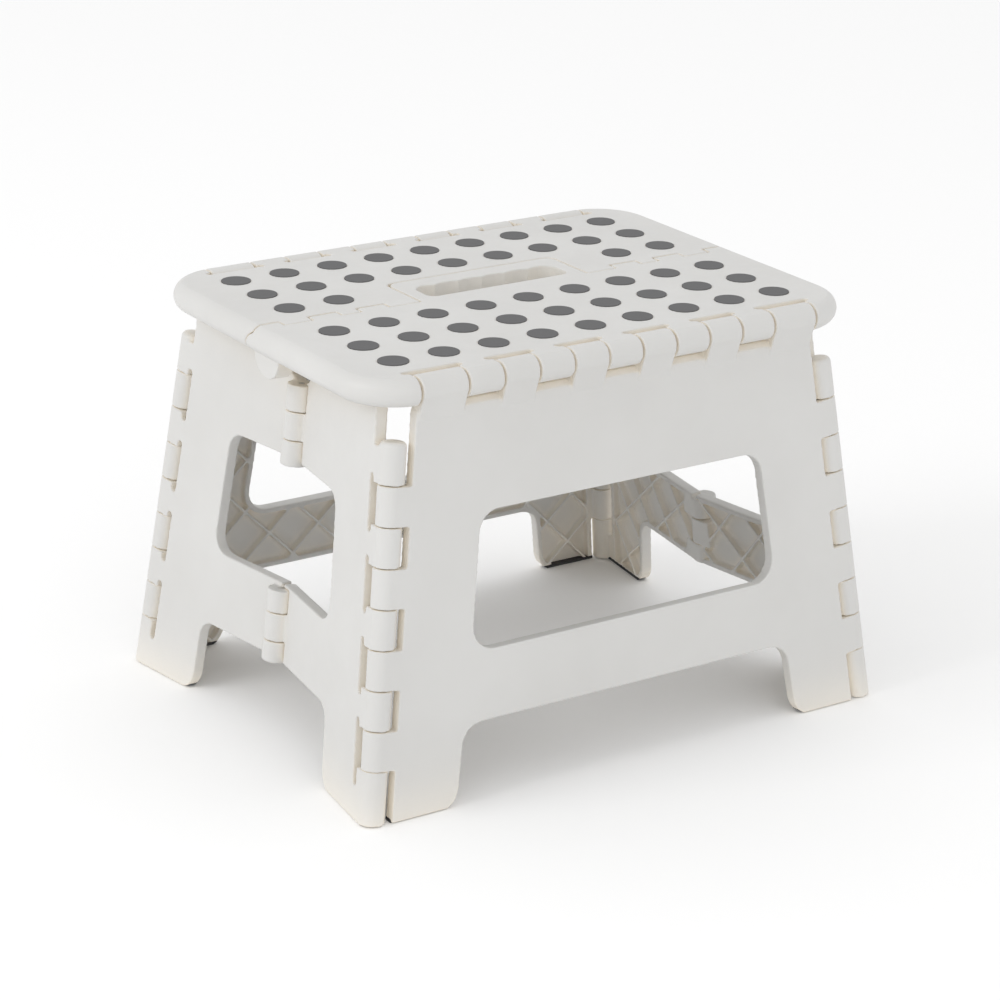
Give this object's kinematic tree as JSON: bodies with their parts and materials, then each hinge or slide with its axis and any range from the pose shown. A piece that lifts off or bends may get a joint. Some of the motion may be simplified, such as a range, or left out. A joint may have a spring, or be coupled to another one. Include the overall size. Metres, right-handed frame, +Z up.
{
  "type": "folding step stool",
  "caption": "Low folding step stool of moulded plastic with raised grip dots, windowed walls, folding end walls and a carrying tab.",
  "frame": {"origin": "middle of the footprint, on the floor", "axes": "+Z up, +X to the right along the long side of the top, -Y the front"},
  "size_m": [0.316, 0.251, 0.22],
  "materials": {
    "body_plastic": "satin, finely textured",
    "grip_rubber": "matte",
    "hinge_pin": "satin",
    "foot_rubber": "matte"
  },
  "bodies": {
    "front_panel": {"front_panel": "body_plastic", "front_top_pin": "hinge_pin", "front_left_foot": "foot_rubber", "front_right_foot": "foot_rubber"},
    "top_front": {"top_front": "body_plastic", "front_grip_dots": "grip_rubber", "centre_pin_left": "hinge_pin", "centre_pin_right": "hinge_pin"},
    "top_rear": {"top_rear": "body_plastic", "rear_grip_dots": "grip_rubber"},
    "rear_panel": {"rear_panel": "body_plastic", "rear_top_pin": "hinge_pin", "rear_left_foot": "foot_rubber", "rear_right_foot": "foot_rubber"},
    "left_front_end": {"left_front_end": "body_plastic", "front_left_corner_pin": "hinge_pin", "left_front_foot": "foot_rubber"},
    "right_front_end": {"right_front_end": "body_plastic", "front_right_corner_pin": "hinge_pin", "right_front_foot": "foot_rubber"},
    "left_rear_end": {"left_rear_end": "body_plastic", "rear_left_corner_pin": "hinge_pin", "left_upper_end_pins": "hinge_pin", "left_lower_end_pins": "hinge_pin", "left_rear_foot": "foot_rubber"},
    "right_rear_end": {"right_rear_end": "body_plastic", "rear_right_corner_pin": "hinge_pin", "right_upper_end_pins": "hinge_pin", "right_lower_end_pins": "hinge_pin", "right_rear_foot": "foot_rubber"}
  },
  "joints": [
    {"name": "fold", "type": "hinge", "parent": "front_panel", "child": "top_front", "pos_m": [0, -0.104, 0.2125], "axis": [1, 0, 0], "range_deg": [0, 81.1]},
    {"name": "middle_hinge", "type": "hinge", "parent": "top_front", "child": "top_rear", "pos_m": [0, 0, 0.205], "axis": [1, 0, 0], "range_deg": [-172.5, 0]},
    {"name": "rear_edge_hinge", "type": "hinge", "parent": "top_rear", "child": "rear_panel", "pos_m": [0, 0.104, 0.2125], "axis": [1, 0, 0], "range_deg": [0, 81.2]},
    {"name": "left_front_corner", "type": "hinge", "parent": "front_panel", "child": "left_front_end", "pos_m": [-0.1515, -0.1189, 0], "axis": [0.1235, 0.0958, 0.9877], "range_deg": [-81.57, 0]},
    {"name": "right_front_corner", "type": "hinge", "parent": "front_panel", "child": "right_front_end", "pos_m": [0.1515, -0.1189, 0], "axis": [-0.1235, 0.0958, 0.9877], "range_deg": [0, 81.57]},
    {"name": "left_rear_corner", "type": "hinge", "parent": "rear_panel", "child": "left_rear_end", "pos_m": [-0.1515, 0.1189, 0], "axis": [0.1235, -0.0958, 0.9877], "range_deg": [0, 81.57]},
    {"name": "right_rear_corner", "type": "hinge", "parent": "rear_panel", "child": "right_rear_end", "pos_m": [0.1515, 0.1189, 0], "axis": [-0.1235, -0.0958, 0.9877], "range_deg": [-81.57, 0]}
  ],
  "couplings": [
    {"joint": "middle_hinge", "follows": "fold", "ratio": -2.1245},
    {"joint": "rear_edge_hinge", "follows": "fold", "ratio": 1},
    {"joint": "left_front_corner", "follows": "fold", "ratio": -1.0033},
    {"joint": "right_front_corner", "follows": "fold", "ratio": 1.0033},
    {"joint": "left_rear_corner", "follows": "fold", "ratio": 1.0033},
    {"joint": "right_rear_corner", "follows": "fold", "ratio": -1.0033}
  ]
}
